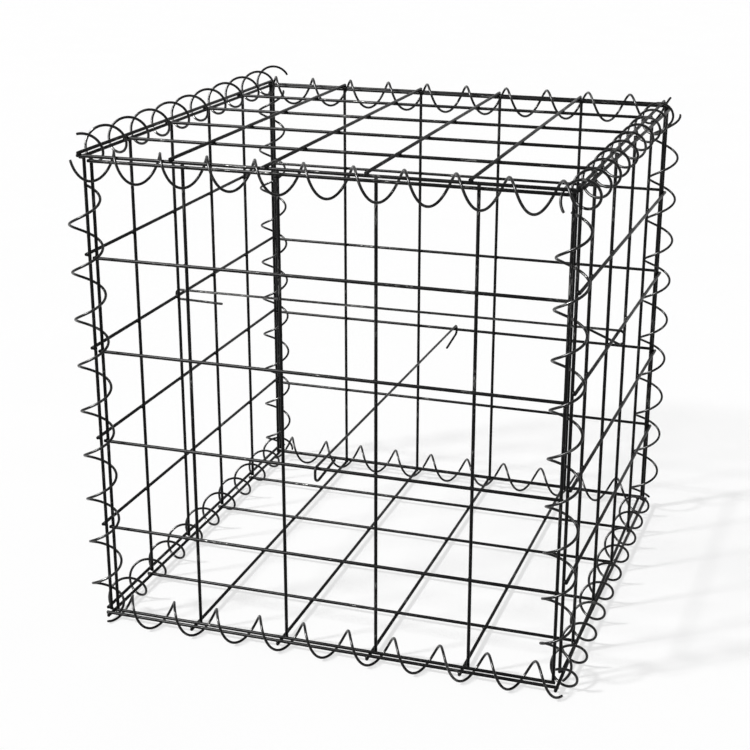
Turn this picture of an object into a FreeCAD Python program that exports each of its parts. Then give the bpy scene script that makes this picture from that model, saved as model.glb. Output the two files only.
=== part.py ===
import FreeCAD, Part

import math
import os

V = FreeCAD.Vector
X, Y, Z = V(1, 0, 0), V(0, 1, 0), V(0, 0, 1)

# A gabion basket: six welded mesh panels, laced along all twelve edges with coiled binders,
# and held square by two hooked tie wires. Millimetres. The floor is z = 0, +X runs along the
# front, +Y goes to the back, and the origin is under the middle of the basket.

# Mesh
MESH = 100.0            # from wire to wire
CELLS = 5               # cells along a panel's side
MESH_WIRE = 3.5         # wire diameter
WELD_BITE = 0.5         # how far crossing wires sink into each other at a weld
STUB = 1.0              # wire left beyond the outermost weld

# Coiled binders
COIL_WIRE = 2.8
COIL_RADIUS = 16.0      # to the middle of the wire
COIL_PITCH = MESH / 2   # two turns to a cell, so that every turn passes the cross wires alike
COIL_ARCS = 8           # arcs that a turn's middle line is made of

# Tie wires
TIE_WIRE = 2.8
HOOK_BEND = 5.0         # bend radius, to the middle of the wire
HOOK_REACH = 7.5        # how far a hook goes past the wire it holds

GAP = 0.3               # between a wire and the wire it rests on
EASE = 0.5              # the least gap between the wires of neighbouring panels

WELD_STEP = (MESH_WIRE - WELD_BITE) / 2                    # from a panel's middle to its wires
REACH = COIL_RADIUS - (COIL_WIRE + MESH_WIRE) / 2 - GAP    # from a coil's axis to a wire inside it
OVER = (TIE_WIRE + MESH_WIRE) / 2 + GAP                    # from a tie to the mesh wire under it
FOOT = COIL_RADIUS + COIL_WIRE / 2                         # axis height of the coils on the floor

# How the panels stand to each other. They hang loosely in their coils, so opposite panels are a
# little nearer or further apart than a panel's length, and none sits quite in the middle.
SIDE = MESH * CELLS
SET_IN = COIL_RADIUS - 2 * WELD_STEP    # how far the front and back stand in from the other panels' ends
PUSHED = SET_IN - MESH_WIRE - WELD_STEP    # how far a side panel can slide till it meets their wires
UNDER = 2 * WELD_STEP + EASE            # how far the back's top wire rises to just under the lid's
WIDTH = SIDE + 4                        # between the left and right panels
DEPTH = SIDE - 2 * SET_IN               # between the front and back panels
HEIGHT = SIDE + 2 * (MESH_WIRE + WELD_STEP + 2 * EASE)    # between the base and the lid
OFF_CENTRE = {"front_panel": V(1, 0, -UNDER), "back_panel": V(2, 0, UNDER),
              "left_panel": V(-3, PUSHED, 2 * EASE), "right_panel": V(-3, EASE - PUSHED, -EASE),
              "lid_panel": V(-2, -PUSHED / 2, 0), "base_panel": V(-5, 5, 0)}
RIGHT_TURN = 1.3        # degrees that the right panel is out of square
FRONT_TRIM = 11.0       # how much narrower the front panel's last cell was cut
BESIDE = 1.434 * REACH  # how far in from the front's last upright the right's first one stands
RIGHT_TRIM = SET_IN + PUSHED + WELD_STEP - EASE + BESIDE    # the same for the right's first cell
BASE_Z = FOOT - 0.95 * REACH + WELD_STEP    # the base rests low in its four coils


def straight_wire(start, end, diameter):
    run = end - start
    return Part.makeCylinder(diameter / 2, run.Length, start, run)


def swept_wire(path, diameter):
    """A round wire along a path of smoothly joined edges."""
    edge = path.Edges[0]
    at = edge.FirstParameter
    section = Part.Wire([Part.makeCircle(diameter / 2, edge.valueAt(at), edge.tangentAt(at))])
    return path.makePipeShell([section], True, True)


def rounded(points, radius):
    """Straight runs between the points, joined by tangent arcs."""
    edges = []
    last = points[0]
    for before, corner, after in zip(points, points[1:], points[2:]):
        back = (before - corner).normalize()
        ahead = (after - corner).normalize()
        half = back.getAngle(ahead) / 2
        arc_start = corner + back * (radius / math.tan(half))
        arc_end = corner + ahead * (radius / math.tan(half))
        inward = (back + ahead).normalize()
        arc_mid = corner + inward * (radius / math.sin(half) - radius)
        edges.append(Part.LineSegment(last, arc_start).toShape())
        edges.append(Part.Arc(arc_start, arc_mid, arc_end).toShape())
        last = arc_end
    edges.append(Part.LineSegment(last, points[-1]).toShape())
    return Part.Wire(edges)


class Panel:
    """A flat welded mesh: `across` wires lie on the outer side, `up` wires on the inner side."""

    def __init__(self, middle, across, up, outward, trim_first=0.0, trim_last=0.0):
        self.middle = middle
        self.across = across
        self.up = up
        self.outward = outward
        self.columns = self.places()
        self.columns[0] += trim_first
        self.columns[-1] -= trim_last
        self.rows = self.places()

    def places(self):
        return [(k - CELLS / 2) * MESH for k in range(CELLS + 1)]

    def on_across(self, row, along=0.0):
        """A point on the middle line of an across wire."""
        return self.middle + self.across * along + self.up * self.rows[row] + self.outward * WELD_STEP

    def on_up(self, column, along=0.0):
        """A point on the middle line of an up wire."""
        return self.middle + self.across * self.columns[column] + self.up * along - self.outward * WELD_STEP

    def solid(self):
        past = MESH_WIRE / 2 + STUB
        wires = []
        for row in range(CELLS + 1):
            start = self.on_across(row, self.columns[0] - past)
            end = self.on_across(row, self.columns[-1] + past)
            wires.append(straight_wire(start, end, MESH_WIRE))
        for column in range(CELLS + 1):
            start = self.on_up(column, self.rows[0] - past)
            end = self.on_up(column, self.rows[-1] + past)
            wires.append(straight_wire(start, end, MESH_WIRE))
        return wires[0].fuse(wires[1:]).Solids[0]


def make_panels():
    turn = FreeCAD.Rotation(Z, -RIGHT_TURN)
    centre = Z * (BASE_Z + HEIGHT / 2)

    def middle(name, outward, distance):
        return centre + outward * (distance / 2) + OFF_CENTRE[name]

    return {
        "front_panel": Panel(middle("front_panel", -Y, DEPTH), X, Z, -Y, trim_last=FRONT_TRIM),
        "back_panel": Panel(middle("back_panel", Y, DEPTH), X, Z, Y),
        "left_panel": Panel(middle("left_panel", -X, WIDTH), Y, Z, -X),
        "right_panel": Panel(middle("right_panel", X, WIDTH), turn.multVec(Y), Z, turn.multVec(X),
                             trim_first=RIGHT_TRIM),
        "lid_panel": Panel(middle("lid_panel", Z, HEIGHT), Y, X, Z),
        "base_panel": Panel(middle("base_panel", -Z, HEIGHT), Y, X, -Z),
    }


# A coil winds right-handed about its axis. Each axis direction has the turn that carries a coil
# made along Z onto it, which steps X to Y to Z in a ring.
AXIS_TURN = {"X": FreeCAD.Rotation(V(1, 1, 1), 120),
             "Y": FreeCAD.Rotation(V(1, 1, 1), 240),
             "Z": FreeCAD.Rotation()}


def hung(axis, wire, angle):
    """A coil's axis, where the coil rests on the wire inside it. The angle says which way."""
    lean = V(math.cos(math.radians(angle)), math.sin(math.radians(angle)), 0)
    return wire + AXIS_TURN[axis].multVec(lean) * REACH


def stood(wire, sideways):
    """The axis of a coil that stands on the floor and carries the wire in it."""
    drop = FOOT - wire.z
    return wire + Z * drop + sideways * math.sqrt(REACH ** 2 - drop ** 2)


def coil_line(phase, start, end):
    """A right-handed helix about Z from start to end, out along +X at the phase. It is a chain of
    equal arcs, each tangent to the next, that keeps within 0.03 mm of the true helix."""
    count = round((end - start) / COIL_PITCH * COIL_ARCS)
    rise = (end - start) / count
    half_turn = math.pi * rise / COIL_PITCH
    flat_chord = 2 * COIL_RADIUS * math.sin(half_turn)
    chord = math.hypot(flat_chord, rise)
    bulge = chord / 2 * math.tan(math.atan(math.tan(half_turn) * flat_chord / chord) / 2)
    crown = COIL_RADIUS * math.cos(half_turn) + bulge

    def spot(height, radius):
        angle = 2 * math.pi * (height - phase) / COIL_PITCH
        return V(radius * math.cos(angle), radius * math.sin(angle), height)

    arcs = []
    for k in range(count):
        low, high = start + k * rise, start + (k + 1) * rise
        arc = Part.Arc(spot(low, COIL_RADIUS), spot((low + high) / 2, crown), spot(high, COIL_RADIUS))
        arcs.append(arc.toShape())
    return Part.Wire(arcs)


def make_coil(axis, place, phase, past_start, past_end):
    """A coil about an axis through the place. How far it goes past the basket's corners at each
    end, and the phase at which a turn stands out sideways, are counted in turns."""
    start, end = (BASE_Z, BASE_Z + HEIGHT) if axis == "Z" else (-SIDE / 2, SIDE / 2)
    line = coil_line(phase * COIL_PITCH, start - past_start * COIL_PITCH, end + past_end * COIL_PITCH)
    coil = swept_wire(line, COIL_WIRE)
    turn = AXIS_TURN[axis]
    along = turn.multVec(Z)
    coil.Placement = FreeCAD.Placement(place - along * place.dot(along), turn)
    return coil


def make_coils(panels):
    """The twelve coils. Each was cut and wound in by hand, so phases and ends differ."""
    front, back = panels["front_panel"], panels["back_panel"]
    left, right = panels["left_panel"], panels["right_panel"]
    lid, base = panels["lid_panel"], panels["base_panel"]
    return {
        "top_front_coil": make_coil("X", hung("X", lid.on_up(0), 305), 0.41, 0.16, -0.04),
        "top_back_coil": make_coil("X", hung("X", lid.on_up(-1), 205), 0.96, 0.12, 0.12),
        "top_left_coil": make_coil("Y", hung("Y", left.on_across(-1), 40), 0.92, 0.12, 0.12),
        "top_right_coil": make_coil("Y", hung("Y", lid.on_across(-1), 185), 0.23, 0.14, -0.36),
        "bottom_front_coil": make_coil("X", stood(front.on_across(0), -Y), 0.28, 0.04, 0.04),
        "bottom_back_coil": make_coil("X", stood(base.on_up(-1), -Y), 0.14, 0.12, -0.32),
        "bottom_left_coil": make_coil("Y", stood(base.on_across(0), X), 0.84, -0.3, 0.14),
        "bottom_right_coil": make_coil("Y", stood(base.on_across(-1), X), 0.98, 0.06, -0.32),
        "left_front_coil": make_coil("Z", hung("Z", front.on_up(0), 250), 0.36, -0.16, -0.7),
        "right_front_coil": make_coil("Z", hung("Z", right.on_up(0), 260), 0.44, -0.16, -0.62),
        "right_back_coil": make_coil("Z", hung("Z", right.on_up(-1), 275), 0.12, -0.16, -0.22),
        "left_back_coil": make_coil("Z", hung("Z", back.on_up(0), 110), 0.08, -0.16, -0.22),
    }


def make_tie(start_wire, end_wire, start_tail, end_tail):
    """A tie between two mesh wires. It passes over each, turns down outside it and comes back in
    under it. A tail gives the hook's depth, then its end: inwards, sideways and up from the wire,
    all in bend radii."""
    run = (end_wire - start_wire).normalize()
    side = Z.cross(run).normalize()

    def hook(wire, outward, tail):
        depth, inwards, sideways, up = [HOOK_BEND * share for share in tail]
        over = wire + Z * OVER + outward * HOOK_REACH
        under = wire - Z * depth + outward * HOOK_REACH
        tip = wire - outward * inwards + side * sideways + Z * up
        return [over, under, tip]

    points = hook(start_wire, -run, start_tail)[::-1] + hook(end_wire, run, end_tail)
    return swept_wire(rounded(points, HOOK_BEND), TIE_WIRE)


def make_ties(panels):
    front, back = panels["front_panel"], panels["back_panel"]
    left, right = panels["left_panel"], panels["right_panel"]
    return {
        "front_to_back_tie": make_tie(front.on_across(2, -0.11 * MESH), back.on_across(2, -0.02 * MESH),
                                      (2.8, 5.4, -1.6, 0), (1.5, 5, 0.6, -3.6)),
        "left_to_right_tie": make_tie(left.on_across(3, -0.34 * MESH), right.on_across(3, -0.08 * MESH),
                                      (1.5, 10, 0, -1.8), (2.8, 6.4, 1.2, 0)),
    }


def main():
    panels = make_panels()
    pieces = {name: panel.solid() for name, panel in panels.items()}
    pieces.update(make_coils(panels))
    pieces.update(make_ties(panels))
    os.makedirs("parts", exist_ok=True)
    for name, shape in pieces.items():
        shape.exportStep(f"parts/{name}.step")
        print(name, shape.ShapeType, shape.isValid(), round(shape.Volume), "mm3")


main()
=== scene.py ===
"""The look of the gabion basket: black-coated wire on a white floor.

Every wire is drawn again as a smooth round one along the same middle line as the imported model's,
with its welds, its cut ends and its finish. Sizes are in metres.
"""
import math

import bpy
from mathutils import Euler, Matrix, Vector

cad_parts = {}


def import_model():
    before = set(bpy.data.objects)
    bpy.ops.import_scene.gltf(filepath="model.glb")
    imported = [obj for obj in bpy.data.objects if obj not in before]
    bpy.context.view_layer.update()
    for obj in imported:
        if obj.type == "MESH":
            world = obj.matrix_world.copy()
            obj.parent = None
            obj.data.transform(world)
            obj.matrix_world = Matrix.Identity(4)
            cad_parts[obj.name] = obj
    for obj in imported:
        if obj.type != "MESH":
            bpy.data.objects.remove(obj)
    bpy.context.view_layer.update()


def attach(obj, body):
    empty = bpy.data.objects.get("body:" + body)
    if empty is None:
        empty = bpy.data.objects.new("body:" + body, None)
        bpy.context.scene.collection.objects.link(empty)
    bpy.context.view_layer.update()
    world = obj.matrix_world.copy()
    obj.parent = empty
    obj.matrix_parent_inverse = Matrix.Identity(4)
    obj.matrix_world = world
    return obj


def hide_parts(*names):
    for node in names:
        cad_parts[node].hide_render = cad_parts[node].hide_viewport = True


MM = 0.001
X, Y, Z = Vector((1, 0, 0)), Vector((0, 1, 0)), Vector((0, 0, 1))

# Mesh
MESH = 100 * MM
CELLS = 5
MESH_WIRE = 3.5 * MM
WELD_BITE = 0.5 * MM    # how far crossing wires sink into each other at a weld
STUB = 1.0 * MM         # wire left beyond the outermost weld

# Coiled binders
COIL_WIRE = 2.8 * MM
COIL_RADIUS = 16 * MM
COIL_PITCH = MESH / 2

# Tie wires
TIE_WIRE = 2.8 * MM
HOOK_BEND = 5 * MM
HOOK_REACH = 7.5 * MM   # how far the tie goes on past the wire that it hooks

GAP = 0.3 * MM          # between a wire and the wire it rests on
EASE = 0.5 * MM         # the least gap between the wires of neighbouring panels

WELD_STEP = (MESH_WIRE - WELD_BITE) / 2                    # from a panel's middle to its wires
REACH = COIL_RADIUS - (COIL_WIRE + MESH_WIRE) / 2 - GAP    # from a coil's axis to a wire inside it
OVER = (TIE_WIRE + MESH_WIRE) / 2 + GAP                    # from a tie to the mesh wire under it
FOOT = COIL_RADIUS + COIL_WIRE / 2                         # axis height of the coils on the floor

# How the panels stand to each other
SIDE = MESH * CELLS
SET_IN = COIL_RADIUS - 2 * WELD_STEP      # from the other panels' ends to the front and the back
PUSHED = SET_IN - MESH_WIRE - WELD_STEP   # how far a side panel slides till it meets their wires
UNDER = 2 * WELD_STEP + EASE              # how far the back's top wire rises, to just under the lid
WIDTH = SIDE + 4 * MM
DEPTH = SIDE - 2 * SET_IN
HEIGHT = SIDE + 2 * (MESH_WIRE + WELD_STEP + 2 * EASE)
OFF_CENTRE = {"front": (1 * MM, 0, -UNDER), "back": (2 * MM, 0, UNDER),
              "left": (-3 * MM, PUSHED, 2 * EASE), "right": (-3 * MM, EASE - PUSHED, -EASE),
              "lid": (-2 * MM, -PUSHED / 2, 0), "base": (-5 * MM, 5 * MM, 0)}
RIGHT_TURN = math.radians(1.3)            # that the right panel is out of square
FRONT_TRIM = 11 * MM    # how much narrower the front panel's last cell was cut
BESIDE = 1.434 * REACH  # how far in from the front's last upright the right's first one stands
RIGHT_TRIM = SET_IN + PUSHED + WELD_STEP - EASE + BESIDE    # the same for the right's first cell
BASE_Z = FOOT - 0.95 * REACH + WELD_STEP  # the base rests low in its four coils

# Form of the wires
WIRE_SIDES = 20
COIL_STEPS = 56         # round one turn
CUT_LENGTH = 0.5 * MM   # of the slight taper that the shears leave at a cut end
CUT_SCALE = 0.86        # how wide the wire still is at the cut
WELD_WIDTH = 2.5 * MM
WELD_HEIGHT = 2.2 * MM
WELD_SEGMENTS, WELD_RINGS = 16, 10
SHARP_ANGLE = math.radians(50)          # edges sharper than this stay crisp
RUBBED_FROM = MESH_WIRE / 2 + 0.4 * MM  # from a mesh wire's middle line to where the coat is gone
RUBBED_TO = MESH_WIRE / 2 + 4 * MM      # and to where it is whole again

# Colours and light
JET = (0.002, 0.002, 0.0022, 1)         # the coat where it is clean
SOOT = (0.006, 0.006, 0.006, 1)         # where it is dull
WORN = (0.12, 0.12, 0.117, 1)           # where it is rubbed thin and the steel shows
BARE_STEEL = 0.5        # how metallic a rubbed spot is
DULLER = 0.12           # roughness that a dull patch adds
LINE_ROUGHNESS = 0.18   # spread of roughness between the drawing lines
RELIEF_DEPTH = 0.12 * MM
RELIEF_STRENGTH = 0.35
LINE_RELIEF = 0.6       # share of the relief that is drawing lines; the rest is orange peel
FINISHES = [            # name, roughness where the coat is clean, share rubbed, specular
    ("mesh wire", 0.34, 0.05, 0.07),
    ("binder wire", 0.21, 0.07, 0.18),
    ("tie wire", 0.26, 0.07, 0.12),
]
PAPER = 0.98
PAPER_UNEVENNESS = 0.01
PAPER_PATCHES = 5.0     # to a metre
PAPER_ROUGHNESS = 0.9
PAPER_SPECULAR = 0.1
PAPER_GLOW = 0.7        # how far the paper is plain white where it is seen or mirrored
PAPER_SIZE = 20.0       # from the middle to each edge
ROOM_LIGHT = 0.22
KEY_FROM = (-0.60, -0.47, 0.65)         # from the front left, halfway up
KEY_ANGLE = 6.0         # degrees that the lamp is across
KEY_LIGHT = 3.67
SOFT_BOX_ANGLE = 24.0   # the same for its soft box, which shows only in the wires' gloss
SOFT_BOX_LIGHT = 14.0

# Camera
LENS = 73.9             # in the lens's own millimetres, as the sensor's width is
SENSOR_WIDTH = 36.0
CAMERA_PLACE = (503.33, -1589.42, 812.01)
CAMERA_TILT, CAMERA_ROLL, CAMERA_TURN = 70.831, -0.033, 18.521


def placed(name, data):
    """A new object in the scene."""
    thing = bpy.data.objects.new(name, data)
    bpy.context.scene.collection.objects.link(thing)
    return thing


# Node trees

def new_tree(name, kind, inputs, outputs):
    """A node group with named inputs (label, socket type, starting value) and outputs."""
    tree = bpy.data.node_groups.new(name, kind)
    for label, socket_type, value in inputs:
        socket = tree.interface.new_socket(name=label, in_out="INPUT", socket_type=socket_type)
        if value is not None:
            socket.default_value = value
    for label, socket_type in outputs:
        tree.interface.new_socket(name=label, in_out="OUTPUT", socket_type=socket_type)
    return tree, tree.nodes.new("NodeGroupInput"), tree.nodes.new("NodeGroupOutput")


def add(tree, kind, *inputs, named=None, **settings):
    """A node with its settings. An input is a socket to link, a value to set, or None to leave."""
    node = tree.nodes.new(kind)
    for key, value in settings.items():
        setattr(node, key, value)
    given = list(zip([s for s in node.inputs if s.enabled], inputs))
    given += [(node.inputs[label], value) for label, value in (named or {}).items()]
    for socket, value in given:
        if value is None:
            continue
        if isinstance(value, bpy.types.NodeSocket):
            tree.links.new(value, socket)
        else:
            socket.default_value = value
    return node


def maths(tree, operation, *inputs):
    return add(tree, "ShaderNodeMath", *inputs, operation=operation).outputs[0]


def capture(tree, geometry, value, kind):
    """Keeps a field's value on the geometry. Gives back the geometry and the kept value."""
    node = tree.nodes.new("GeometryNodeCaptureAttribute")
    node.capture_items.new(kind, "Kept")
    tree.links.new(geometry, node.inputs[0])
    tree.links.new(value, node.inputs[1])
    return node.outputs[0], node.outputs[1]


def sweep_tree():
    """A round wire along each curve. The attribute "wire" holds the straightened wire's
    coordinates: two round its section and one along it, so that a finish can follow the wire."""
    tree, given, result = new_tree("Sweep wire", "GeometryNodeTree", [
        ("Curve", "NodeSocketGeometry", None),
        ("Wire diameter", "NodeSocketFloat", MESH_WIRE),
        ("Sides", "NodeSocketInt", WIRE_SIDES),
        ("Cut scale", "NodeSocketFloat", CUT_SCALE),
    ], [("Mesh", "NodeSocketGeometry")])
    curve, along = capture(tree, given.outputs["Curve"],
                           add(tree, "GeometryNodeSplineParameter").outputs["Length"], "FLOAT")
    radius = maths(tree, "MULTIPLY", given.outputs["Wire diameter"], 0.5)
    circle = add(tree, "GeometryNodeCurvePrimitiveCircle",
                 named={"Resolution": given.outputs["Sides"], "Radius": radius}, mode="RADIUS")
    profile, ring = capture(tree, circle.outputs["Curve"],
                            add(tree, "GeometryNodeInputPosition").outputs[0], "VECTOR")
    at_end = add(tree, "GeometryNodeCurveEndpointSelection", 1, 1).outputs[0]
    scale = add(tree, "GeometryNodeSwitch", at_end, 1.0, given.outputs["Cut scale"],
                input_type="FLOAT").outputs[0]
    mesh = add(tree, "GeometryNodeCurveToMesh", curve, profile, scale, True).outputs[0]
    section = add(tree, "ShaderNodeSeparateXYZ", ring)
    coordinate = add(tree, "ShaderNodeCombineXYZ", section.outputs[0], section.outputs[1],
                     along).outputs[0]
    stored = add(tree, "GeometryNodeStoreNamedAttribute", mesh, None, "wire", coordinate,
                 data_type="FLOAT_VECTOR", domain="POINT").outputs[0]
    tree.links.new(stored, result.inputs[0])
    return tree


def swept(tree, given, sweep, curve):
    """Round wires along the curves, as thick and as many-sided as the tree is told."""
    return add(tree, "GeometryNodeGroup", named={
        "Curve": curve, "Wire diameter": given.outputs["Wire diameter"],
        "Sides": given.outputs["Sides"]}, node_tree=sweep).outputs[0]


def mark_bearing(tree, given, geometry):
    """Stores in "rub" how near each spot is to a mesh wire that this wire bears on, up to 1."""
    lines = add(tree, "GeometryNodeObjectInfo", named={"Object": given.outputs["Bearing lines"]},
                transform_space="RELATIVE").outputs["Geometry"]
    away = add(tree, "GeometryNodeProximity", lines, target_element="EDGES").outputs["Distance"]
    near = add(tree, "ShaderNodeMapRange", away, given.outputs["Rubbed from"],
               given.outputs["Rubbed to"], 1.0, 0.0, interpolation_type="SMOOTHSTEP").outputs[0]
    return add(tree, "GeometryNodeStoreNamedAttribute", geometry, None, "rub", near,
               data_type="FLOAT", domain="POINT").outputs[0]


def finish_tree(tree, result, geometry, material):
    """The end of every tree: real geometry, with its material."""
    real = add(tree, "GeometryNodeRealizeInstances", geometry).outputs[0]
    dressed = add(tree, "GeometryNodeSetMaterial", real, None, material).outputs[0]
    tree.links.new(dressed, result.inputs[0])


def welded_mesh_tree(sweep):
    """Straight wires along the edges it is given, and a weld at each point marked as one."""
    tree, given, result = new_tree("Welded mesh", "GeometryNodeTree", [
        ("Wire lines", "NodeSocketGeometry", None),
        ("Wire diameter", "NodeSocketFloat", MESH_WIRE),
        ("Sides", "NodeSocketInt", WIRE_SIDES),
        ("Weld width", "NodeSocketFloat", WELD_WIDTH),
        ("Weld height", "NodeSocketFloat", WELD_HEIGHT),
        ("Weld unevenness", "NodeSocketFloat", 0.12),
        ("Seed", "NodeSocketInt", 7),
        ("Material", "NodeSocketMaterial", None),
    ], [("Geometry", "NodeSocketGeometry")])
    curves = add(tree, "GeometryNodeMeshToCurve", given.outputs["Wire lines"]).outputs[0]
    wires = swept(tree, given, sweep, curves)

    is_weld = add(tree, "GeometryNodeInputNamedAttribute", "weld", data_type="BOOLEAN").outputs[0]
    facing = add(tree, "GeometryNodeInputNamedAttribute", "facing",
                 data_type="FLOAT_VECTOR").outputs[0]
    turned = add(tree, "FunctionNodeAlignRotationToVector", named={"Vector": facing},
                 axis="Z").outputs[0]
    bead = add(tree, "GeometryNodeMeshUVSphere", WELD_SEGMENTS, WELD_RINGS, 1.0).outputs[0]
    on_bead = add(tree, "ShaderNodeVectorMath", add(tree, "GeometryNodeInputPosition").outputs[0],
                  None, None, MESH_WIRE, operation="SCALE").outputs[0]
    bead = add(tree, "GeometryNodeStoreNamedAttribute", bead, None, "wire", on_bead,
               data_type="FLOAT_VECTOR", domain="POINT").outputs[0]
    unevenness = given.outputs["Weld unevenness"]
    share = add(tree, "FunctionNodeRandomValue", named={
        "Min": maths(tree, "SUBTRACT", 1.0, unevenness), "Max": maths(tree, "ADD", 1.0, unevenness),
        "Seed": given.outputs["Seed"]}, data_type="FLOAT").outputs["Value"]
    width = maths(tree, "MULTIPLY", given.outputs["Weld width"], share)
    size = add(tree, "ShaderNodeCombineXYZ", width, width, given.outputs["Weld height"]).outputs[0]
    welds = add(tree, "GeometryNodeInstanceOnPoints", named={
        "Points": given.outputs["Wire lines"], "Selection": is_weld, "Instance": bead,
        "Rotation": turned, "Scale": size}).outputs[0]
    both = tree.nodes.new("GeometryNodeJoinGeometry")
    tree.links.new(welds, both.inputs[0])
    tree.links.new(wires, both.inputs[0])
    finish_tree(tree, result, both.outputs[0], given.outputs["Material"])
    return tree


def binder_tree(sweep):
    """A right-handed coil about an axis, from one place along it to another. At the phase the wire
    stands straight out from the axis, before the whole coil is turned and placed."""
    tree, given, result = new_tree("Coiled binder", "GeometryNodeTree", [
        ("Geometry", "NodeSocketGeometry", None),
        ("Pitch", "NodeSocketFloat", COIL_PITCH),
        ("Coil radius", "NodeSocketFloat", COIL_RADIUS),
        ("From", "NodeSocketFloat", 0.0),
        ("To", "NodeSocketFloat", COIL_PITCH),
        ("Phase", "NodeSocketFloat", 0.0),
        ("Steps in a turn", "NodeSocketInt", COIL_STEPS),
        ("Wire diameter", "NodeSocketFloat", COIL_WIRE),
        ("Sides", "NodeSocketInt", WIRE_SIDES),
        ("Turn", "NodeSocketRotation", None),
        ("Place", "NodeSocketVector", None),
        ("Bearing lines", "NodeSocketObject", None),
        ("Rubbed from", "NodeSocketFloat", RUBBED_FROM),
        ("Rubbed to", "NodeSocketFloat", RUBBED_TO),
        ("Material", "NodeSocketMaterial", None),
    ], [("Geometry", "NodeSocketGeometry")])
    start = add(tree, "ShaderNodeCombineXYZ", None, None, given.outputs["From"]).outputs[0]
    end = add(tree, "ShaderNodeCombineXYZ", None, None, given.outputs["To"]).outputs[0]
    line = add(tree, "GeometryNodeCurvePrimitiveLine", start, end, mode="POINTS").outputs[0]
    length = maths(tree, "SUBTRACT", given.outputs["To"], given.outputs["From"])
    turns = maths(tree, "DIVIDE", length, given.outputs["Pitch"])
    count = maths(tree, "ROUND", maths(tree, "MULTIPLY", turns, given.outputs["Steps in a turn"]))
    line = add(tree, "GeometryNodeResampleCurve", line, None, count, mode="COUNT").outputs[0]
    on_line = add(tree, "GeometryNodeInputPosition").outputs[0]
    height = add(tree, "ShaderNodeSeparateXYZ", on_line).outputs[2]
    past_phase = maths(tree, "SUBTRACT", height, given.outputs["Phase"])
    turned = maths(tree, "DIVIDE", past_phase, given.outputs["Pitch"])
    angle = maths(tree, "MULTIPLY", turned, 2 * math.pi)
    out = [maths(tree, "MULTIPLY", maths(tree, wave, angle), given.outputs["Coil radius"])
           for wave in ("COSINE", "SINE")]
    spot = add(tree, "ShaderNodeCombineXYZ", out[0], out[1], height).outputs[0]
    helix = add(tree, "GeometryNodeSetPosition", line, None, spot).outputs[0]
    set_down = add(tree, "GeometryNodeTransform", named={
        "Geometry": swept(tree, given, sweep, helix), "Rotation": given.outputs["Turn"],
        "Translation": given.outputs["Place"]}).outputs[0]
    finish_tree(tree, result, mark_bearing(tree, given, set_down), given.outputs["Material"])
    return tree


def tie_tree(sweep):
    """A wire along the corners it is given, with its bends rounded."""
    tree, given, result = new_tree("Hooked tie", "GeometryNodeTree", [
        ("Corners", "NodeSocketGeometry", None),
        ("Bend radius", "NodeSocketFloat", HOOK_BEND),
        ("Steps in a bend", "NodeSocketInt", 14),
        ("Wire diameter", "NodeSocketFloat", TIE_WIRE),
        ("Sides", "NodeSocketInt", WIRE_SIDES),
        ("Bearing lines", "NodeSocketObject", None),
        ("Rubbed from", "NodeSocketFloat", RUBBED_FROM),
        ("Rubbed to", "NodeSocketFloat", RUBBED_TO),
        ("Material", "NodeSocketMaterial", None),
    ], [("Geometry", "NodeSocketGeometry")])
    line = add(tree, "GeometryNodeMeshToCurve", given.outputs["Corners"]).outputs[0]
    bent = add(tree, "GeometryNodeFilletCurve", named={
        "Curve": line, "Count": given.outputs["Steps in a bend"],
        "Radius": given.outputs["Bend radius"]}, mode="POLY").outputs[0]
    wire = swept(tree, given, sweep, bent)
    finish_tree(tree, result, mark_bearing(tree, given, wire), given.outputs["Material"])
    return tree


# Finishes

def noise(tree, vector, scale, detail, roughness=0.5):
    return add(tree, "ShaderNodeTexNoise", named={
        "Vector": vector, "Scale": scale, "Detail": detail, "Roughness": roughness}).outputs[0]


def drawing_lines_group():
    """Fine lines along a wire, left by the die it was drawn through."""
    tree, given, result = new_tree("Drawing lines", "ShaderNodeTree", [
        ("Wire coordinate", "NodeSocketVector", None),
        ("Lines per metre round", "NodeSocketFloat", 2600.0),
        ("Lines per metre along", "NodeSocketFloat", 22.0),
    ], [("Lines", "NodeSocketFloat")])
    across = given.outputs["Lines per metre round"]
    stretch = add(tree, "ShaderNodeCombineXYZ", across, across,
                  given.outputs["Lines per metre along"]).outputs[0]
    at = add(tree, "ShaderNodeVectorMath", given.outputs["Wire coordinate"], stretch,
             operation="MULTIPLY").outputs[0]
    tree.links.new(noise(tree, at, 1.0, detail=3.0, roughness=0.6), result.inputs[0])
    return tree


def coat_group():
    """The coating's own skin: a slight orange peel, and cloudy patches that are duller."""
    tree, given, result = new_tree("Coat skin", "ShaderNodeTree", [
        ("Vector", "NodeSocketVector", None),
        ("Peel per metre", "NodeSocketFloat", 900.0),
        ("Clouds per metre", "NodeSocketFloat", 38.0),
    ], [("Peel", "NodeSocketFloat"), ("Clouds", "NodeSocketFloat")])
    peel = noise(tree, given.outputs["Vector"], given.outputs["Peel per metre"], detail=1.0)
    clouds = noise(tree, given.outputs["Vector"], given.outputs["Clouds per metre"], detail=4.0)
    clear = add(tree, "ShaderNodeMapRange", clouds, 0.35, 0.68, 0.0, 1.0).outputs[0]
    tree.links.new(peel, result.inputs["Peel"])
    tree.links.new(clear, result.inputs["Clouds"])
    return tree


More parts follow.
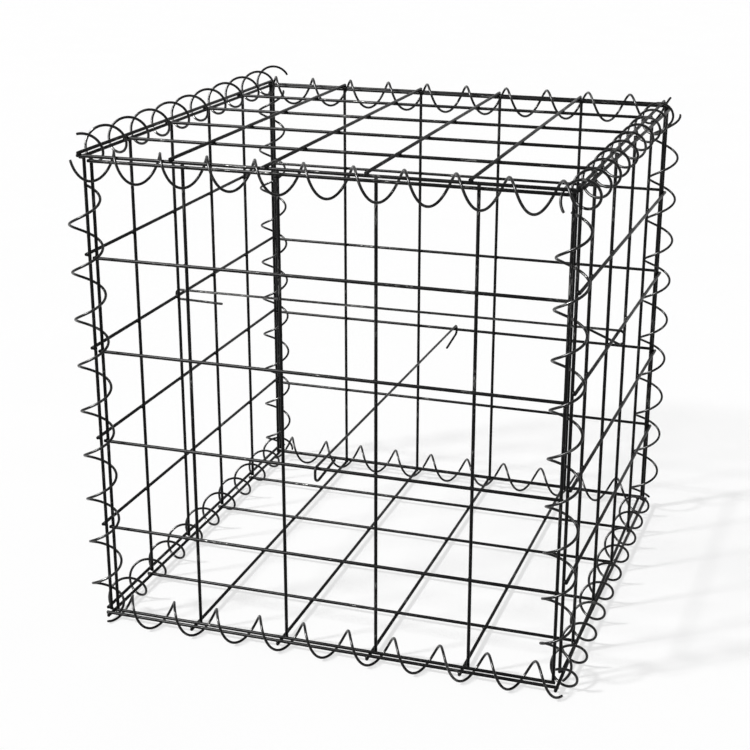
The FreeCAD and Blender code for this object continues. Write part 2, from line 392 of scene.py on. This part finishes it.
def scuff_group():
    """Short scrapes where the coat has been rubbed thin: a few anywhere, more where wires bear."""
    tree, given, result = new_tree("Scuffs", "ShaderNodeTree", [
        ("Wire coordinate", "NodeSocketVector", None),
        ("Vector", "NodeSocketVector", None),
        ("Share rubbed", "NodeSocketFloat", 0.1),
        ("Bearing", "NodeSocketFloat", 0.0),
        ("Bearing weight", "NodeSocketFloat", 0.26),
        ("Streaks per metre round", "NodeSocketFloat", 1500.0),
        ("Streaks per metre along", "NodeSocketFloat", 190.0),
        ("Patches per metre", "NodeSocketFloat", 24.0),
        ("Whole coat above", "NodeSocketFloat", 0.42),
        ("Edge softness", "NodeSocketFloat", 0.05),
    ], [("Scuff", "NodeSocketFloat")])
    across = given.outputs["Streaks per metre round"]
    stretch = add(tree, "ShaderNodeCombineXYZ", across, across,
                  given.outputs["Streaks per metre along"]).outputs[0]
    streak = add(tree, "ShaderNodeVectorMath", given.outputs["Wire coordinate"], stretch,
                 operation="MULTIPLY").outputs[0]
    fine = noise(tree, streak, 1.0, detail=2.0)
    where = noise(tree, given.outputs["Vector"], given.outputs["Patches per metre"], detail=2.0)
    both = maths(tree, "MULTIPLY", fine, where)
    whole = maths(tree, "SUBTRACT", given.outputs["Whole coat above"],
                  given.outputs["Share rubbed"])
    worn = maths(tree, "MULTIPLY", given.outputs["Bearing"], given.outputs["Bearing weight"])
    edge = maths(tree, "SUBTRACT", whole, worn)
    top = maths(tree, "ADD", edge, given.outputs["Edge softness"])
    mask = add(tree, "ShaderNodeMapRange", both, edge, top, 0.0, 1.0).outputs[0]
    tree.links.new(mask, result.inputs[0])
    return tree


def mixed(tree, share, first, second):
    """A colour between two, by a share."""
    return add(tree, "ShaderNodeMix", share, first, second, data_type="RGBA").outputs["Result"]


def coated_wire(name, groups, gloss, rub_share, specular):
    """Black-coated steel wire. The gloss is how rough the coat is where it is clean."""
    lines_group, skin_group, scuffs_group = groups
    material = bpy.data.materials.new(name)
    material.use_nodes = True
    tree = material.node_tree
    principled = tree.nodes["Principled BSDF"]
    wire = add(tree, "ShaderNodeAttribute", attribute_name="wire").outputs["Vector"]
    rub = add(tree, "ShaderNodeAttribute", attribute_name="rub").outputs["Fac"]
    spot = add(tree, "ShaderNodeTexCoord").outputs["Object"]
    lines = add(tree, "ShaderNodeGroup", wire, node_tree=lines_group).outputs[0]
    skin = add(tree, "ShaderNodeGroup", spot, node_tree=skin_group)
    scuff = add(tree, "ShaderNodeGroup", wire, spot, rub_share, rub,
                node_tree=scuffs_group).outputs[0]

    colour = mixed(tree, scuff, mixed(tree, skin.outputs["Clouds"], JET, SOOT), WORN)
    clean = add(tree, "ShaderNodeMapRange", skin.outputs["Clouds"], 0.0, 1.0,
                gloss, gloss + DULLER).outputs[0]
    uneven = maths(tree, "MULTIPLY", maths(tree, "SUBTRACT", lines, 0.5), LINE_ROUGHNESS)
    relief = maths(tree, "ADD", maths(tree, "MULTIPLY", lines, LINE_RELIEF),
                   maths(tree, "MULTIPLY", skin.outputs["Peel"], 1 - LINE_RELIEF))
    bump = add(tree, "ShaderNodeBump", named={"Strength": RELIEF_STRENGTH, "Distance": RELIEF_DEPTH,
                                              "Height": relief}).outputs[0]
    tree.links.new(colour, principled.inputs["Base Color"])
    tree.links.new(maths(tree, "ADD", clean, uneven), principled.inputs["Roughness"])
    tree.links.new(maths(tree, "MULTIPLY", scuff, BARE_STEEL), principled.inputs["Metallic"])
    tree.links.new(bump, principled.inputs["Normal"])
    principled.inputs["Specular IOR Level"].default_value = specular
    return material


# Layout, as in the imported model

class Panel:
    """A flat welded mesh: `across` wires lie on the outer side, `up` wires on the inner side."""

    def __init__(self, middle, across, up, outward, trim_first=0.0, trim_last=0.0):
        self.middle = middle
        self.across = across
        self.up = up
        self.outward = outward
        self.rows = [(k - CELLS / 2) * MESH for k in range(CELLS + 1)]
        self.columns = list(self.rows)
        self.columns[0] += trim_first
        self.columns[-1] -= trim_last

    def at(self, x, y, out=0.0):
        return self.middle + self.across * x + self.up * y + self.outward * out

    def on_across(self, row, along=0.0):
        return self.at(along, self.rows[row], WELD_STEP)

    def on_up(self, column, along=0.0):
        return self.at(self.columns[column], along, -WELD_STEP)

    def lines(self):
        past = MESH_WIRE / 2 + STUB
        ends = self.columns[0] - past, self.columns[-1] + past
        for row in range(CELLS + 1):
            yield tuple(self.on_across(row, end) for end in ends)
        ends = self.rows[0] - past, self.rows[-1] + past
        for column in range(CELLS + 1):
            yield tuple(self.on_up(column, end) for end in ends)

    def crossings(self):
        for row in self.rows:
            for column in self.columns:
                yield self.at(column, row)


def lay_out_panels():
    turn = Matrix.Rotation(-RIGHT_TURN, 3, "Z")
    centre = Z * (BASE_Z + HEIGHT / 2)

    def middle(name, outward, distance):
        return centre + outward * (distance / 2) + Vector(OFF_CENTRE[name])

    return {
        "front": Panel(middle("front", -Y, DEPTH), X, Z, -Y, trim_last=FRONT_TRIM),
        "back": Panel(middle("back", Y, DEPTH), X, Z, Y),
        "left": Panel(middle("left", -X, WIDTH), Y, Z, -X),
        "right": Panel(middle("right", X, WIDTH), turn @ Y, Z, turn @ X, trim_first=RIGHT_TRIM),
        "lid": Panel(middle("lid", Z, HEIGHT), Y, X, Z),
        "base": Panel(middle("base", -Z, HEIGHT), Y, X, -Z),
    }


# The turn that carries a coil made along Z onto each axis, stepping X to Y to Z in a ring
AXIS_TURN = {"X": Matrix.Rotation(math.radians(120), 3, Vector((1, 1, 1))),
             "Y": Matrix.Rotation(math.radians(240), 3, Vector((1, 1, 1))),
             "Z": Matrix.Identity(3)}


def hung(axis, wire, angle):
    """A coil's axis, where the coil rests on the wire inside it. The angle says which way."""
    lean = Vector((math.cos(math.radians(angle)), math.sin(math.radians(angle)), 0))
    return wire + AXIS_TURN[axis] @ lean * REACH


def stood(wire, sideways):
    """The axis of a coil that stands on the floor and carries the wire in it."""
    drop = FOOT - wire.z
    return wire + Z * drop + sideways * math.sqrt(REACH ** 2 - drop ** 2)


def lay_out_binders(panels):
    """For each binder: its axis, a point of the axis, its phase, and how far it goes past the
    basket's corners at each end. The phase and the ends are counted in turns."""
    front, back, left, right = (panels[k] for k in ("front", "back", "left", "right"))
    lid, base = panels["lid"], panels["base"]
    return {
        "top_front": ("X", hung("X", lid.on_up(0), 305), 0.41, 0.16, -0.04),
        "top_back": ("X", hung("X", lid.on_up(-1), 205), 0.96, 0.12, 0.12),
        "top_left": ("Y", hung("Y", left.on_across(-1), 40), 0.92, 0.12, 0.12),
        "top_right": ("Y", hung("Y", lid.on_across(-1), 185), 0.23, 0.14, -0.36),
        "bottom_front": ("X", stood(front.on_across(0), -Y), 0.28, 0.04, 0.04),
        "bottom_back": ("X", stood(base.on_up(-1), -Y), 0.14, 0.12, -0.32),
        "bottom_left": ("Y", stood(base.on_across(0), X), 0.84, -0.3, 0.14),
        "bottom_right": ("Y", stood(base.on_across(-1), X), 0.98, 0.06, -0.32),
        "left_front": ("Z", hung("Z", front.on_up(0), 250), 0.36, -0.16, -0.7),
        "right_front": ("Z", hung("Z", right.on_up(0), 260), 0.44, -0.16, -0.62),
        "right_back": ("Z", hung("Z", right.on_up(-1), 275), 0.12, -0.16, -0.22),
        "left_back": ("Z", hung("Z", back.on_up(0), 110), 0.08, -0.16, -0.22),
    }


def tie_corners(start_wire, end_wire, start_tail, end_tail):
    """The corners of a tie between two mesh wires, from tip to tip. A tail gives the hook's depth,
    then its end: inwards, sideways and up from the wire, all in bend radii."""
    run = (end_wire - start_wire).normalized()
    side = Z.cross(run).normalized()

    def hook(wire, outward, tail):
        depth, inwards, sideways, up = (HOOK_BEND * share for share in tail)
        return [wire + Z * OVER + outward * HOOK_REACH,
                wire - Z * depth + outward * HOOK_REACH,
                wire - outward * inwards + side * sideways + Z * up]

    return hook(start_wire, -run, start_tail)[::-1] + hook(end_wire, run, end_tail)


def lay_out_ties(panels):
    front, back, left, right = (panels[k] for k in ("front", "back", "left", "right"))
    return {
        "front_to_back": tie_corners(
            front.on_across(2, -0.11 * MESH), back.on_across(2, -0.02 * MESH),
            (2.8, 5.4, -1.6, 0), (1.5, 5, 0.6, -3.6)),
        "left_to_right": tie_corners(
            left.on_across(3, -0.34 * MESH), right.on_across(3, -0.08 * MESH),
            (1.5, 10, 0, -1.8), (2.8, 6.4, 1.2, 0)),
    }


# Making the pieces

def plain_mesh(name, points, edges, attributes=()):
    mesh = bpy.data.meshes.new(name)
    mesh.from_pydata(points, edges, [])
    for label, kind, values in attributes:
        layer = mesh.attributes.new(label, kind, "POINT")
        for item, value in zip(layer.data, values):
            if kind == "FLOAT_VECTOR":
                item.vector = value
            else:
                item.value = value
    return mesh


def grown(name, mesh, tree, values, node):
    """Runs a node tree on a mesh and keeps the result as a plain piece that stands for a node."""
    seed = placed(name + "_seed", mesh)
    modifier = seed.modifiers.new("Grow", "NODES")
    modifier.node_group = tree
    by_label = {item.name: item.identifier for item in tree.interface.items_tree
                if item.in_out == "INPUT"}
    for label, value in values.items():
        modifier[by_label[label]] = value
    shown = bpy.context.evaluated_depsgraph_get()
    result = bpy.data.meshes.new_from_object(seed.evaluated_get(shown))
    bpy.data.objects.remove(seed)
    result.name = name
    result.materials.clear()
    result.materials.append(values["Material"])
    result.polygons.foreach_set("material_index", [0] * len(result.polygons))
    result.shade_smooth()
    result.set_sharp_from_angle(angle=SHARP_ANGLE)
    piece = placed(name, result)
    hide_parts(node)
    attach(piece, "root")
    return piece


def with_cut_ends(corners):
    """Adds a point close to each end, so that only the end itself tapers."""
    first = corners[0] + (corners[1] - corners[0]).normalized() * CUT_LENGTH
    last = corners[-1] + (corners[-2] - corners[-1]).normalized() * CUT_LENGTH
    return [corners[0], first] + list(corners[1:-1]) + [last, corners[-1]]


def make_mesh_panel(name, panel, tree, material):
    points, edges = [], []
    for start, end in panel.lines():
        run = with_cut_ends([start, end])
        edges += [(len(points) + k, len(points) + k + 1) for k in range(len(run) - 1)]
        points += run
    crossings = list(panel.crossings())
    weld = [False] * len(points) + [True] * len(crossings)
    points += crossings
    facing = [panel.outward] * len(points)
    mesh = plain_mesh(name, points, edges, [("weld", "BOOLEAN", weld),
                                            ("facing", "FLOAT_VECTOR", facing)])
    return grown(name + "_mesh", mesh, tree, {"Material": material}, name + "_panel")


def make_binder(name, layout, tree, lines, material):
    axis, on_axis, phase, past_start, past_end = layout
    start, end = (BASE_Z, BASE_Z + HEIGHT) if axis == "Z" else (-SIDE / 2, SIDE / 2)
    turn = AXIS_TURN[axis]
    along = turn @ Z
    return grown(name + "_binder", bpy.data.meshes.new(name), tree, {
        "Phase": phase * COIL_PITCH,
        "From": start - past_start * COIL_PITCH,
        "To": end + past_end * COIL_PITCH,
        "Turn": turn.to_euler(),
        "Place": on_axis - along * on_axis.dot(along),
        "Bearing lines": lines,
        "Material": material,
    }, name + "_coil")


def make_tie(name, corners, tree, lines, material):
    points = with_cut_ends(corners)
    mesh = plain_mesh(name, points, [(k, k + 1) for k in range(len(points) - 1)])
    return grown(name + "_hooks", mesh, tree, {"Bearing lines": lines, "Material": material},
                 name + "_tie")


def make_bearing_lines(panels):
    """The middle lines of all the mesh wires, for measuring from. It is removed at the end."""
    points = [point for panel in panels.values() for line in panel.lines() for point in line]
    mesh = plain_mesh("bearing lines", points, [(k, k + 1) for k in range(0, len(points), 2)])
    return placed("bearing_lines", mesh)


# Floor, light and camera

def seen_or_mirrored(tree):
    """1 for what the camera sees straight, in a reflection or through glass, and 0 for light."""
    path = add(tree, "ShaderNodeLightPath").outputs
    return maths(tree, "MAXIMUM", path["Is Camera Ray"],
                 maths(tree, "MAXIMUM", path["Is Glossy Ray"], path["Is Transmission Ray"]))


def make_stage():
    mesh = bpy.data.meshes.new("floor")
    corners = [(x * PAPER_SIZE, y * PAPER_SIZE, 0) for x, y in ((-1, -1), (1, -1), (1, 1), (-1, 1))]
    mesh.from_pydata(corners, [], [(0, 1, 2, 3)])
    floor = placed("floor", mesh)
    material = bpy.data.materials.new("white paper")
    material.use_nodes = True
    tree = material.node_tree
    principled = tree.nodes["Principled BSDF"]
    spot = add(tree, "ShaderNodeTexCoord").outputs["Object"]
    patches = noise(tree, spot, PAPER_PATCHES, detail=2.0)
    shade = add(tree, "ShaderNodeMapRange", patches, 0.3, 0.7, 0.0, 1.0).outputs[0]
    tree.links.new(mixed(tree, shade, (PAPER - PAPER_UNEVENNESS,) * 3 + (1,),
                         (PAPER + PAPER_UNEVENNESS,) * 3 + (1,)),
                   principled.inputs["Base Color"])
    principled.inputs["Roughness"].default_value = PAPER_ROUGHNESS
    principled.inputs["Specular IOR Level"].default_value = PAPER_SPECULAR
    white = add(tree, "ShaderNodeEmission", (1, 1, 1, 1), 1.0).outputs[0]
    glow = maths(tree, "MULTIPLY", seen_or_mirrored(tree), PAPER_GLOW)
    paper = add(tree, "ShaderNodeMixShader", glow, principled.outputs[0], white).outputs[0]
    tree.links.new(paper, tree.nodes["Material Output"].inputs["Surface"])
    mesh.materials.append(material)


def make_sun(name, comes_from, angle, strength):
    data = bpy.data.lights.new(name, "SUN")
    data.angle = math.radians(angle)
    data.energy = strength
    lamp = placed(name, data)
    lamp.rotation_euler = Vector(comes_from).to_track_quat("Z", "Y").to_euler()
    return lamp


def make_light():
    """A soft room, plain white where it is seen or mirrored, and a key lamp from the front left.
    The lamp's broad soft box shows only as glints on the wires."""
    world = bpy.data.worlds.new("studio")
    bpy.context.scene.world = world
    world.use_nodes = True
    tree = world.node_tree
    soft = tree.nodes["Background"]
    soft.inputs["Color"].default_value = (1, 1, 1, 1)
    soft.inputs["Strength"].default_value = ROOM_LIGHT
    white = add(tree, "ShaderNodeBackground", (1, 1, 1, 1), 1.0).outputs[0]
    both = add(tree, "ShaderNodeMixShader", seen_or_mirrored(tree), soft.outputs[0],
               white).outputs[0]
    tree.links.new(both, tree.nodes["World Output"].inputs["Surface"])
    make_sun("key", KEY_FROM, KEY_ANGLE, KEY_LIGHT)
    soft_box = make_sun("soft box", KEY_FROM, SOFT_BOX_ANGLE, SOFT_BOX_LIGHT)
    soft_box.visible_diffuse = False


def make_camera():
    data = bpy.data.cameras.new("camera")
    data.lens = LENS
    data.sensor_width = SENSOR_WIDTH
    data.dof.use_dof = False
    camera = placed("camera", data)
    camera.location = Vector(CAMERA_PLACE) * MM
    turns = CAMERA_TILT, CAMERA_ROLL, CAMERA_TURN
    camera.rotation_euler = Euler([math.radians(turn) for turn in turns])
    bpy.context.scene.camera = camera


def main():
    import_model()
    bpy.context.scene.view_settings.view_transform = "Standard"

    groups = drawing_lines_group(), coat_group(), scuff_group()
    mesh_finish, coil_finish, tie_finish = (
        coated_wire("black " + name, groups, gloss, rub_share, specular)
        for name, gloss, rub_share, specular in FINISHES)

    sweep = sweep_tree()
    mesh_tree, coil_tree, hook_tree = welded_mesh_tree(sweep), binder_tree(sweep), tie_tree(sweep)
    panels = lay_out_panels()
    for name, panel in panels.items():
        make_mesh_panel(name, panel, mesh_tree, mesh_finish)
    bearing_lines = make_bearing_lines(panels)
    for name, layout in lay_out_binders(panels).items():
        make_binder(name, layout, coil_tree, bearing_lines, coil_finish)
    for name, corners in lay_out_ties(panels).items():
        make_tie(name, corners, hook_tree, bearing_lines, tie_finish)
    bpy.data.objects.remove(bearing_lines)

    make_stage()
    make_light()
    make_camera()


main()
